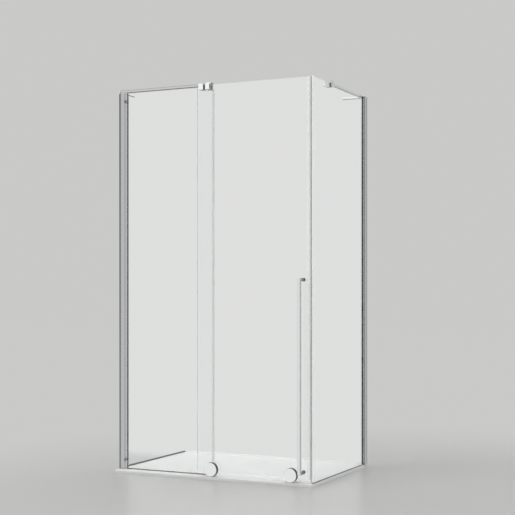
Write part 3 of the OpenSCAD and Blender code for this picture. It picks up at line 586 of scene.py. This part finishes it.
door_low, door_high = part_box("door_panel")
door_middle = (door_low.y + door_high.y) / 2
handle_low, handle_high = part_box("handle")
handle_x = (handle_low.x + handle_high.x) / 2
bores = []
for node in ("roller_tyre_left", "roller_tyre_right"):
    wheel = middle(node)
    bores.append((Vector((wheel.x, door_middle, wheel.z)), AXLE_BORE))
for leg_z in (handle_low.z + HANDLE_SECTION / 2, handle_high.z - HANDLE_SECTION / 2):
    bores.append((Vector((handle_x, door_middle, leg_z)), HANDLE_BORE))

add_pane("fixed_pane", "fixed_panel")
add_pane("side_pane", "side_panel", across=0)
add_pane("door_pane", "door_panel", bores)

# %% [markdown]
# ## The handle
# The handle is one square bar, bent at both ends so that its legs reach the glass. It starts as the
# small cube at its lower front corner. The cube's back is pulled out to the glass, its top is pulled
# up to the other end, and there the bar turns back to the glass again. A bevel then rounds the two
# bends, and a finer one breaks the long edges. The two legs are dark in the photograph, because they
# mirror each other and the shade behind the bar, so their faces get the dark chrome: painted shade.

# %% Pick faces and edges by their place


def edit_faces(piece, test):
    """Opens the piece in edit mode with only those faces selected that pass the test."""
    select_only(piece)
    bpy.ops.object.mode_set(mode="EDIT")
    bpy.ops.mesh.select_mode(type="FACE")
    bpy.ops.mesh.select_all(action="DESELECT")
    mesh = bmesh.from_edit_mesh(piece.data)
    for face in mesh.faces:
        face.select = test(face.normal, face.calc_center_median())
    mesh.select_flush_mode()
    bmesh.update_edit_mesh(piece.data)


def edit_edges(piece, test):
    """The same with edges: the test gets the edge's middle and its direction."""
    select_only(piece)
    bpy.ops.object.mode_set(mode="EDIT")
    bpy.ops.mesh.select_mode(type="EDGE")
    bpy.ops.mesh.select_all(action="DESELECT")
    mesh = bmesh.from_edit_mesh(piece.data)
    for edge in mesh.edges:
        a, b = (vertex.co for vertex in edge.verts)
        edge.select = test((a + b) / 2, (b - a).normalized())
    mesh.select_flush_mode()
    bmesh.update_edit_mesh(piece.data)


def leave_edit():
    bpy.ops.object.mode_set(mode="OBJECT")


def pull(piece, test, offset):
    """Extrudes the faces that pass the test by the offset."""
    edit_faces(piece, test)
    bpy.ops.mesh.extrude_region_move(TRANSFORM_OT_translate={"value": tuple(offset)})
    leave_edit()


# %% Bend the handle
BEND_RADIUS = 2.5 * MM
LONG_EDGE = 2.0 * MM
NEAR = 1 * MM
# The cosine above which a face looks, or an edge runs, along an axis
ALONG = 0.9

side = HANDLE_SECTION
front_y = handle_low.y + side
top_z = handle_high.z - side
handle_bar = add_block("handle_bar", handle_low, handle_low + Vector((side, side, side)))
leg = Vector((0, handle_high.y - front_y, 0))
pull(handle_bar, lambda normal, place: normal.y > ALONG, leg)
pull(handle_bar, lambda normal, place: normal.z > ALONG and place.y < front_y,
     Vector((0, 0, top_z - handle_low.z - side)))
pull(handle_bar, lambda normal, place: normal.z > ALONG and place.y < front_y,
     Vector((0, 0, side)))
pull(handle_bar, lambda normal, place: normal.y > ALONG and place.z > top_z, leg)

edit_edges(handle_bar, lambda place, along: abs(along.x) > ALONG
           and place.y < handle_low.y + NEAR
           and not handle_low.z + NEAR < place.z < handle_high.z - NEAR)
bpy.ops.mesh.bevel(offset=BEND_RADIUS, segments=5, affect="EDGES")
leave_edit()
soften(handle_bar, LONG_EDGE, segments=3)
dress(handle_bar, "handle", chrome)
# The legs' faces get painted shade with the dark chrome
second_finish(handle_bar, painted_shade_chrome, lambda normal, place: place.y > front_y + NEAR)
print("handle faces:", len(handle_bar.data.polygons))

# %% [markdown]
# ## The roller covers
# Each roller carries a shallow chrome cup with its flat face to the front. The cup starts as a
# cylinder. Its back is inset by the thickness of the wall and pushed forward to hollow it, its face
# gets a low dome, and a wide bevel turns its rim. The face has a soft finish and the wall behind it
# the dark chrome, painted shade that gives the dark crescent of the photograph.

# %% Turn the roller covers
COVER_SIDES = 96
COVER_WALL = 1.4 * MM
COVER_FACE = 2.0 * MM
COVER_RIM = 1.6 * MM
RIM_MARGIN = 0.4 * MM
DOME_STEPS = 2
DOME_STEP = 8 * MM
DOME_RISE = 0.25 * MM
# The cosine above which a face of a cover looks to the front
COVER_FRONT = 0.75
TOUCH = 0.1 * MM


def add_cover(name, node):
    low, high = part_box(node)
    radius = (high.x - low.x) / 2
    cover = add_cylinder(name, (low + high) / 2, radius, high.y - low.y, COVER_SIDES)
    edit_faces(cover, lambda normal, place: normal.y > ALONG)
    bpy.ops.mesh.inset(thickness=COVER_WALL)
    bpy.ops.mesh.extrude_region_move(
        TRANSFORM_OT_translate={"value": (0, COVER_FACE - (high.y - low.y), 0)})
    leave_edit()
    edit_faces(cover, lambda normal, place: normal.y < -ALONG and place.y < low.y + TOUCH)
    bpy.ops.transform.translate(value=(0, DOME_STEPS * DOME_RISE, 0))
    bpy.ops.mesh.inset(thickness=COVER_RIM + RIM_MARGIN)
    for _ in range(DOME_STEPS):
        bpy.ops.mesh.inset(thickness=DOME_STEP, depth=DOME_RISE)
    leave_edit()
    soften(cover, COVER_RIM, segments=5)
    dress(cover, node, satin_chrome)
    # The cup's wall and rim get painted shade with the dark chrome
    second_finish(cover, painted_shade_chrome, lambda normal, place: normal.y > -COVER_FRONT)
    print(name, "faces:", len(cover.data.polygons))


for end in ("left", "right"):
    add_cover("roller_cap_" + end, "roller_cover_" + end)

# %% [markdown]
# ## The stabiliser bars
# Two square bars keep the tops of the fixed glass from leaning. Such a bar is drawn with round long
# edges, and in the photograph these edges are its dark outlines, because they mirror what stands
# beside and above it. Each bar is a block with one bevel, and the faces of the bevel get the dark
# chrome: painted shade, drawn on as outlines.

# %% Round the bars
BAR_EDGE = 2.2 * MM
# The cosine below which a face of a bar belongs to its round edge
BAR_FLAT = 0.98

for node in ("front_bar", "side_bar"):
    bar = add_block(node + "_finished", *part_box(node))
    soften(bar, BAR_EDGE, segments=3)
    dress(bar, node, bar_chrome)
    # The round edges get painted shade with the dark chrome
    second_finish(bar, painted_shade_chrome,
                  lambda normal, place: max(abs(part) for part in normal) < BAR_FLAT)
    print(bar.name, "faces:", len(bar.data.polygons))

# %% [markdown]
# ## Plates, clamps and profiles
# These pieces already have their full shape in the CAD model. What they lack is the broken edge that
# every sawn, cast or moulded part has, and which draws the thin bright lines in the photograph. So
# each one is copied, its loose triangles are merged, and its sharp edges are bevelled. The table
# gives each piece its finish and the width of its edge in millimetres.

# %% List the finishes and edges
SOFT_EDGES = {
    "front_wall_plate": (painted_light_chrome, 0.8), "back_wall_plate": (painted_light_chrome, 0.8),
    "guide_clamp": (painted_light_chrome, 0.9), "side_clamp": (bar_chrome, 0.9),
    "door_stop": (painted_light_chrome, 0.9),
    "front_profile_cap": (chrome, 0.4), "back_profile_cap": (chrome, 0.4),
    "front_wall_profile": (aluminium, 0.6), "back_wall_profile": (aluminium, 0.6),
    "front_glazing_profile": (aluminium, 0.5), "back_glazing_profile": (aluminium, 0.5),
    "waste_flange": (chrome, 0.3), "clamp_screws": (chrome, 0.4),
    "handle_fixings": (black_chrome, 0.8), "roller_nuts": (chrome, 0.3),
    "roller_axle_left": (steel, 0.3), "roller_axle_right": (steel, 0.3),
    "roller_wheel_left": (nylon, 0.5), "roller_wheel_right": (nylon, 0.5),
    "roller_tyre_left": (tyre_rubber, 0.6), "roller_tyre_right": (tyre_rubber, 0.6),
    "drain_cover": (cover_white, 0.4), "shower_tray": (tray_white, 0.8),
    "open_bumpers": (grey_rubber, 0.8),
}
print("pieces to soften:", len(SOFT_EDGES))

# %% [markdown]
# A wall profile is a channel that is screwed on by its back, and along the back the photograph shows
# a dark line: the joint lies in its own shade. So the two long edges there get a wider rounding, and
# a cut with bisect parts off a narrow strip next to them for a darker aluminium, which is painted
# shade. The lower edge of a wall plate gets its dark line of painted shade in the same way. The
# undersides of the guide clamp and the door stop and the clamp's right side look away from the
# light, so they get painted shade with the dark chrome as well.

# %% Helpers for the shaded edges
WALL_EDGE = 3 * MM
WALL_SHADE_STRIP = 10 * MM
PLATE_SHADE_STRIP = 4.2 * MM
# The cosines above which a face of a clamp block belongs to its underside or its right side
UNDERSIDE = 0.4
RIGHT_SIDE = 0.6


def on_left_wall(low):
    """Whether a profile whose box has this low corner is one of the left wall."""
    return abs(low.x - cad_low.x) < TOUCH


def round_wall_edges(piece, node):
    """Rounds the two long edges at the back of a wall profile."""
    low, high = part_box(node)

    def on_edge(place, along):
        if on_left_wall(low):
            at_wall, across, ends = place.x - low.x, place.y, (low.y, high.y)
        else:
            at_wall, across, ends = place.y - high.y, place.x, (low.x, high.x)
        at_side = min(abs(across - ends[0]), abs(across - ends[1])) < TOUCH
        return abs(along.z) > ALONG and abs(at_wall) < TOUCH and at_side

    edit_edges(piece, on_edge)
    bpy.ops.mesh.bevel(offset=WALL_EDGE, segments=5, affect="EDGES")
    leave_edit()


def finish_strip(piece, material, cut, across):
    """Cuts the faces through a point, square to across, and finishes those behind the cut."""
    select_only(piece)
    bpy.ops.object.mode_set(mode="EDIT")
    bpy.ops.mesh.select_all(action="SELECT")
    bpy.ops.mesh.bisect(plane_co=cut, plane_no=across)
    leave_edit()
    second_finish(piece, material, lambda normal, place: (place - cut).dot(across) < 0)


def paint_wall_shade_strip(piece, node):
    """Gives the dark aluminium, painted shade, to a strip along the back of a wall profile."""
    low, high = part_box(node)
    if on_left_wall(low):
        finish_strip(piece, painted_shade_aluminium, low + Vector((WALL_SHADE_STRIP, 0, 0)), Vector((1, 0, 0)))
    else:
        finish_strip(piece, painted_shade_aluminium, high - Vector((0, WALL_SHADE_STRIP, 0)), Vector((0, -1, 0)))


# %% Soften the pieces
for node, (material, width) in SOFT_EDGES.items():
    piece = copy_node(node, node + "_finished")
    if node.endswith("wall_profile"):
        round_wall_edges(piece, node)
    soften(piece, width * MM, segments=2)
    dress(piece, node, material)
    if node.endswith("wall_profile"):
        paint_wall_shade_strip(piece, node)
    # The lower strip of a wall plate gets the dark chrome: a painted shadow line along its lower
    # edge
    if node.endswith("wall_plate"):
        low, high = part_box(node)
        finish_strip(piece, painted_shade_chrome, low + Vector((0, 0, PLATE_SHADE_STRIP)), Vector((0, 0, 1)))
    # Painted shade: the dark chrome goes on the undersides and the clamp's right side
    if node == "guide_clamp":
        second_finish(piece, painted_shade_chrome,
                      lambda normal, place: normal.z < -UNDERSIDE or normal.x > RIGHT_SIDE)
    if node == "door_stop":
        second_finish(piece, painted_shade_chrome, lambda normal, place: normal.z < -UNDERSIDE)
    print(piece.name, "faces:", len(piece.data.polygons))

# %% [markdown]
# ## The clear seals
# The clear vinyl profiles grip the glass. In the CAD model their faces lie exactly on its faces, and
# light can't tell two such faces apart. The copies are therefore drawn in by a few hundredths of a
# millimetre, which is also the air that a real pushed-on seal leaves. The seal between the two panes
# is milky, and shows as the grey line along the edge of the fixed pane.

# %% Draw the clear seals off the glass
SEAL_AIR = 0.06 * MM

for node in ("door_closing_seal", "side_closing_seal", "overlap_seal", "door_bottom_seal",
             "threshold_strip"):
    seal = copy_node(node, node + "_finished")
    apply_modifier(seal, "DISPLACE", strength=-SEAL_AIR, mid_level=0.0)
    dress(seal, node, worn_vinyl if node == "overlap_seal" else vinyl)
    print(seal.name, "faces:", len(seal.data.polygons))

# %% [markdown]
# ## The beads of sealant
# Along its left and its back side the tray is sealed with a bead that is pressed in and drawn smooth
# with a finger. Its section is a small triangle with a hollow face. A block as large as the bead
# gets one wide bevel along its free edge, and the bevel's shape is set hollow. The left bead is
# painted dark as shade, and the back bead keeps the pale sealant.

# %% Draw the beads of sealant
BEAD_HEIGHT = 7 * MM
BEAD_WIDTH = 6 * MM
BEVEL_SHARE = 0.9
HOLLOW = 0.3


def add_bead(name, node, axis, material):
    """A bead in the place of a CAD node, along X where the axis is 0, or Y where it is 1."""
    low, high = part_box(node)
    if axis == 1:
        out = Vector((1, 0, 0))
        high.x = low.x + BEAD_WIDTH
    else:
        out = Vector((0, -1, 0))
        low.y = high.y - BEAD_WIDTH
    high.z = low.z + BEAD_HEIGHT
    bead = add_block(name, low, high)
    free = (low + high) / 2 + out * BEAD_WIDTH / 2
    edit_edges(bead, lambda place, along: abs(along[axis]) > ALONG
               and place.z > free.z and (place - free).dot(out) > -TOUCH)
    bpy.ops.mesh.bevel(offset=min(BEAD_HEIGHT, BEAD_WIDTH) * BEVEL_SHARE, segments=5,
                       profile=HOLLOW, affect="EDGES")
    leave_edit()
    smooth(bead)
    dress(bead, node, material)
    print(name, "faces:", len(bead.data.polygons))


# The left bead's dark sealant is painted shade
add_bead("left_bead", "tray_left_wall_seal", 1, dark_sealant)
add_bead("back_bead", "tray_back_wall_seal", 0, pale_sealant)

# %% [markdown]
# ## Everything else
# The small seals, gaskets, screws and magnets keep their CAD shape. Each one gets the finish of the
# material slot that the record names for it.

# %% Finish the remaining nodes
SLOT_FINISH = {
    "grey_vinyl": grey_vinyl, "magnet": magnet, "pale_magnet": pale_magnet, "nylon": nylon,
    "rubber": rubber, "steel": steel,
}

kept = 0
for name, node in frame["nodes"].items():
    if node.hide_render:
        continue
    if not node.material_slots:
        node.data.materials.append(None)
    for place in node.material_slots:
        place.material = SLOT_FINISH[slot_of(name)]
    kept += 1
print("nodes that keep their shape:", kept)

# %% [markdown]
# ## The last look
# The dressed object is meant to stay inside the box of the CAD model, whose size is printed here.

# %% Print the size of the CAD box
print("CAD box:", [round(v, 4) for v in cad_high - cad_low])
